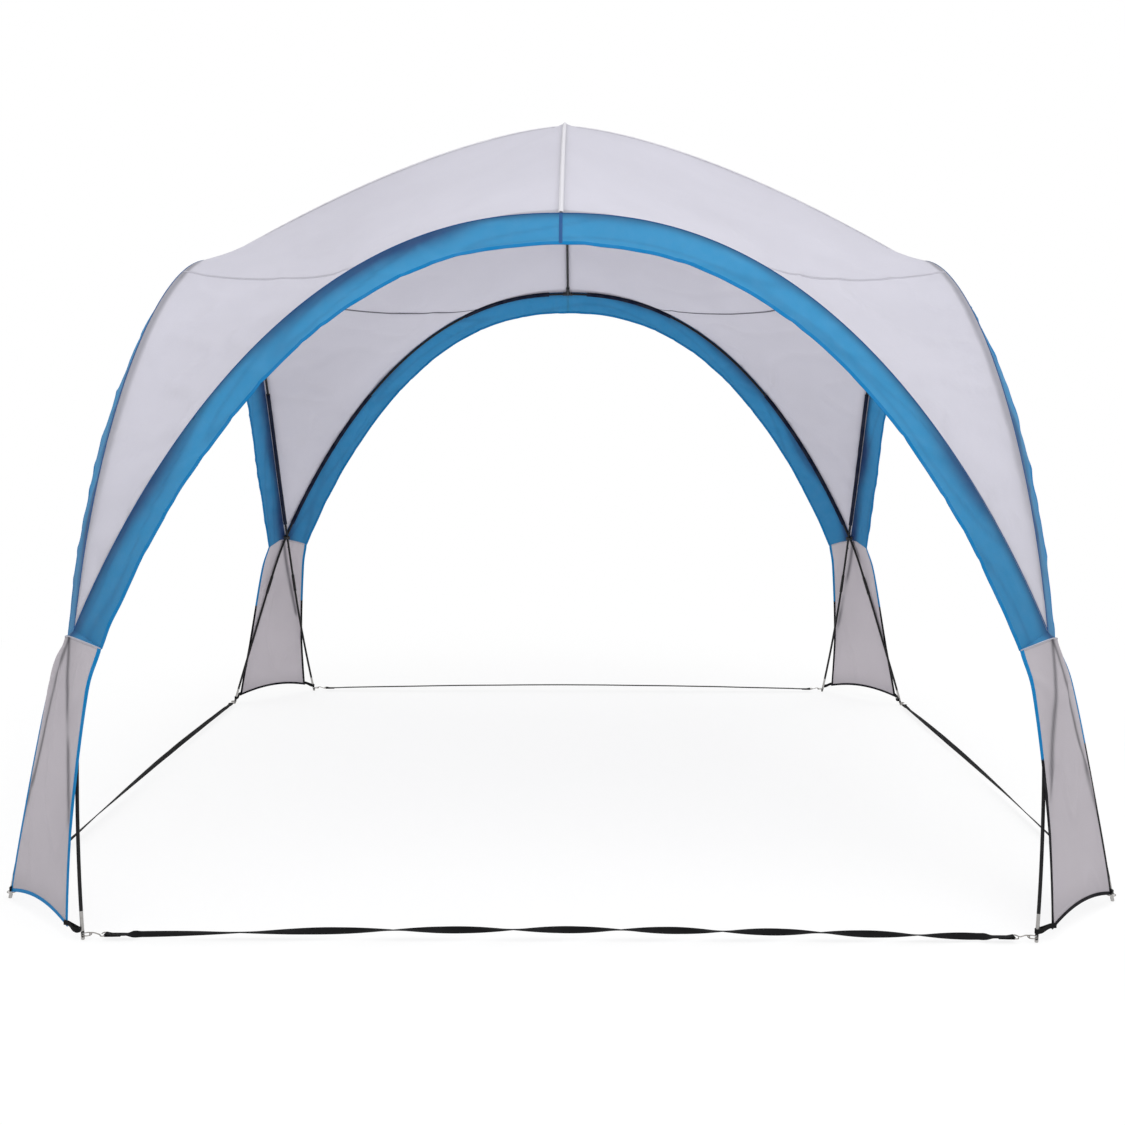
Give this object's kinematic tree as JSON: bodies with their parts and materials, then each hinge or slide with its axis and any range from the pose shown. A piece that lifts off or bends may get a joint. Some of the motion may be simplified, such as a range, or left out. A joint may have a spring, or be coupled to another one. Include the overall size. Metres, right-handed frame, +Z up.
{
  "type": "tarp shelter",
  "caption": "Open-sided dome shelter: light roof cloth with coloured arch bands and corner leg panels over crossing bent pole arches, tied at the feet by ground straps",
  "frame": {"origin": "on the ground, under the apex of the roof", "axes": "+Z up, -Y is the front opening, +X is the right side seen from the front"},
  "size_m": [3.543, 3.523, 2.6876],
  "materials": {
    "roof_fabric": "matt light grey coated polyester",
    "band_fabric": "matt blue coated polyester",
    "leg_fabric": "matt light grey coated polyester",
    "pole": "black glass-fibre rod with a smooth surface",
    "hub": "black moulded plastic",
    "steel": "zinc-plated steel wire",
    "webbing": "black woven webbing"
  },
  "bodies": {
    "shelter": {"front_arch_crown_pole": "pole", "front_arch_hub": "hub", "front_arch_band": "band_fabric", "front_right_roof_panel": "roof_fabric", "front_right_leg_panel": "leg_fabric", "front_right_corner_tie": "webbing", "front_arch_left_leg_pole": "pole", "front_arch_right_leg_pole": "pole", "right_arch_crown_pole": "pole", "right_arch_hub": "hub", "right_arch_band": "band_fabric", "back_right_roof_panel": "roof_fabric", "back_right_leg_panel": "leg_fabric", "back_right_corner_tie": "webbing", "right_arch_front_leg_pole": "pole", "right_arch_back_leg_pole": "pole", "back_arch_crown_pole": "pole", "back_arch_hub": "hub", "back_arch_band": "band_fabric", "back_left_roof_panel": "roof_fabric", "back_left_leg_panel": "leg_fabric", "back_left_corner_tie": "webbing", "back_arch_right_leg_pole": "pole", "back_arch_left_leg_pole": "pole", "left_arch_crown_pole": "pole", "left_arch_hub": "hub", "left_arch_band": "band_fabric", "front_left_roof_panel": "roof_fabric", "front_left_leg_panel": "leg_fabric", "front_left_corner_tie": "webbing", "left_arch_back_leg_pole": "pole", "left_arch_front_leg_pole": "pole", "long_ridge_pole": "pole", "cross_ridge_pole": "pole", "apex_clip": "hub"},
    "front_ground_strap": {"front_ground_strap": "webbing"},
    "front_right_corner_toggle": {"front_right_corner_toggle": "hub"},
    "right_ground_strap": {"right_ground_strap": "webbing"},
    "back_right_corner_toggle": {"back_right_corner_toggle": "hub"},
    "back_ground_strap": {"back_ground_strap": "webbing"},
    "back_left_corner_toggle": {"back_left_corner_toggle": "hub"},
    "left_ground_strap": {"left_ground_strap": "webbing"},
    "front_left_corner_toggle": {"front_left_corner_toggle": "hub"},
    "front_arch_left_foot_ring": {"front_arch_left_foot_ring": "steel"},
    "front_arch_left_strap_hook": {"front_arch_left_strap_hook": "steel"},
    "front_arch_right_foot_ring": {"front_arch_right_foot_ring": "steel"},
    "front_arch_right_strap_hook": {"front_arch_right_strap_hook": "steel"},
    "right_arch_front_foot_ring": {"right_arch_front_foot_ring": "steel"},
    "right_arch_front_strap_hook": {"right_arch_front_strap_hook": "steel"},
    "right_arch_back_foot_ring": {"right_arch_back_foot_ring": "steel"},
    "right_arch_back_strap_hook": {"right_arch_back_strap_hook": "steel"},
    "back_arch_right_foot_ring": {"back_arch_right_foot_ring": "steel"},
    "back_arch_right_strap_hook": {"back_arch_right_strap_hook": "steel"},
    "back_arch_left_foot_ring": {"back_arch_left_foot_ring": "steel"},
    "back_arch_left_strap_hook": {"back_arch_left_strap_hook": "steel"},
    "left_arch_back_foot_ring": {"left_arch_back_foot_ring": "steel"},
    "left_arch_back_strap_hook": {"left_arch_back_strap_hook": "steel"},
    "left_arch_front_foot_ring": {"left_arch_front_foot_ring": "steel"},
    "left_arch_front_strap_hook": {"left_arch_front_strap_hook": "steel"}
  },
  "joints": [
    {"name": "front_ground_strap_swivel", "type": "hinge", "parent": "shelter", "child": "front_ground_strap", "pos_m": [0, -1.745, 0.016], "axis": [1, 0, 0], "range_deg": [-30, 30]},
    {"name": "front_right_toggle_swing", "type": "hinge", "parent": "shelter", "child": "front_right_corner_toggle", "pos_m": [1.46664, -1.46741, 0.87404], "axis": [0.7071, 0.7071, 0], "range_deg": [0, 50]},
    {"name": "right_ground_strap_swivel", "type": "hinge", "parent": "shelter", "child": "right_ground_strap", "pos_m": [1.755, 0, 0.016], "axis": [0, 1, 0], "range_deg": [-30, 30]},
    {"name": "back_right_toggle_swing", "type": "hinge", "parent": "shelter", "child": "back_right_corner_toggle", "pos_m": [1.46741, 1.46664, 0.87404], "axis": [-0.7071, 0.7071, 0], "range_deg": [0, 50]},
    {"name": "back_ground_strap_swivel", "type": "hinge", "parent": "shelter", "child": "back_ground_strap", "pos_m": [0, 1.745, 0.016], "axis": [-1, 0, 0], "range_deg": [-30, 30]},
    {"name": "back_left_toggle_swing", "type": "hinge", "parent": "shelter", "child": "back_left_corner_toggle", "pos_m": [-1.46664, 1.46741, 0.87404], "axis": [-0.7071, -0.7071, 0], "range_deg": [0, 50]},
    {"name": "left_ground_strap_swivel", "type": "hinge", "parent": "shelter", "child": "left_ground_strap", "pos_m": [-1.755, 0, 0.016], "axis": [0, -1, 0], "range_deg": [-30, 30]},
    {"name": "front_left_toggle_swing", "type": "hinge", "parent": "shelter", "child": "front_left_corner_toggle", "pos_m": [-1.46741, -1.46664, 0.87404], "axis": [0.7071, -0.7071, 0], "range_deg": [0, 50]},
    {"name": "front_arch_left_ring_drop", "type": "hinge", "parent": "shelter", "child": "front_arch_left_foot_ring", "pos_m": [-1.755, -1.41, 0.016], "axis": [-1, 0, 0], "range_deg": [0, 30]},
    {"name": "front_arch_left_hook_lift", "type": "hinge", "parent": "left_ground_strap", "child": "front_arch_left_strap_hook", "pos_m": [-1.755, -1.342, 0.016], "axis": [-1, 0, 0], "range_deg": [0, 60]},
    {"name": "front_arch_right_ring_drop", "type": "hinge", "parent": "shelter", "child": "front_arch_right_foot_ring", "pos_m": [1.755, -1.41, 0.016], "axis": [-1, 0, 0], "range_deg": [0, 30]},
    {"name": "front_arch_right_hook_lift", "type": "hinge", "parent": "right_ground_strap", "child": "front_arch_right_strap_hook", "pos_m": [1.755, -1.342, 0.016], "axis": [-1, 0, 0], "range_deg": [0, 60]},
    {"name": "right_arch_front_ring_drop", "type": "hinge", "parent": "shelter", "child": "right_arch_front_foot_ring", "pos_m": [1.4, -1.745, 0.016], "axis": [0, -1, 0], "range_deg": [0, 30]},
    {"name": "right_arch_front_hook_lift", "type": "hinge", "parent": "front_ground_strap", "child": "right_arch_front_strap_hook", "pos_m": [1.332, -1.745, 0.016], "axis": [0, -1, 0], "range_deg": [0, 60]},
    {"name": "right_arch_back_ring_drop", "type": "hinge", "parent": "shelter", "child": "right_arch_back_foot_ring", "pos_m": [1.4, 1.745, 0.016], "axis": [0, -1, 0], "range_deg": [0, 30]},
    {"name": "right_arch_back_hook_lift", "type": "hinge", "parent": "back_ground_strap", "child": "right_arch_back_strap_hook", "pos_m": [1.332, 1.745, 0.016], "axis": [0, -1, 0], "range_deg": [0, 60]},
    {"name": "back_arch_right_ring_drop", "type": "hinge", "parent": "shelter", "child": "back_arch_right_foot_ring", "pos_m": [1.755, 1.41, 0.016], "axis": [1, 0, 0], "range_deg": [0, 30]},
    {"name": "back_arch_right_hook_lift", "type": "hinge", "parent": "right_ground_strap", "child": "back_arch_right_strap_hook", "pos_m": [1.755, 1.342, 0.016], "axis": [1, 0, 0], "range_deg": [0, 60]},
    {"name": "back_arch_left_ring_drop", "type": "hinge", "parent": "shelter", "child": "back_arch_left_foot_ring", "pos_m": [-1.755, 1.41, 0.016], "axis": [1, 0, 0], "range_deg": [0, 30]},
    {"name": "back_arch_left_hook_lift", "type": "hinge", "parent": "left_ground_strap", "child": "back_arch_left_strap_hook", "pos_m": [-1.755, 1.342, 0.016], "axis": [1, 0, 0], "range_deg": [0, 60]},
    {"name": "left_arch_back_ring_drop", "type": "hinge", "parent": "shelter", "child": "left_arch_back_foot_ring", "pos_m": [-1.4, 1.745, 0.016], "axis": [0, 1, 0], "range_deg": [0, 30]},
    {"name": "left_arch_back_hook_lift", "type": "hinge", "parent": "back_ground_strap", "child": "left_arch_back_strap_hook", "pos_m": [-1.332, 1.745, 0.016], "axis": [0, 1, 0], "range_deg": [0, 60]},
    {"name": "left_arch_front_ring_drop", "type": "hinge", "parent": "shelter", "child": "left_arch_front_foot_ring", "pos_m": [-1.4, -1.745, 0.016], "axis": [0, 1, 0], "range_deg": [0, 30]},
    {"name": "left_arch_front_hook_lift", "type": "hinge", "parent": "front_ground_strap", "child": "left_arch_front_strap_hook", "pos_m": [-1.332, -1.745, 0.016], "axis": [0, 1, 0], "range_deg": [0, 60]}
  ]
}
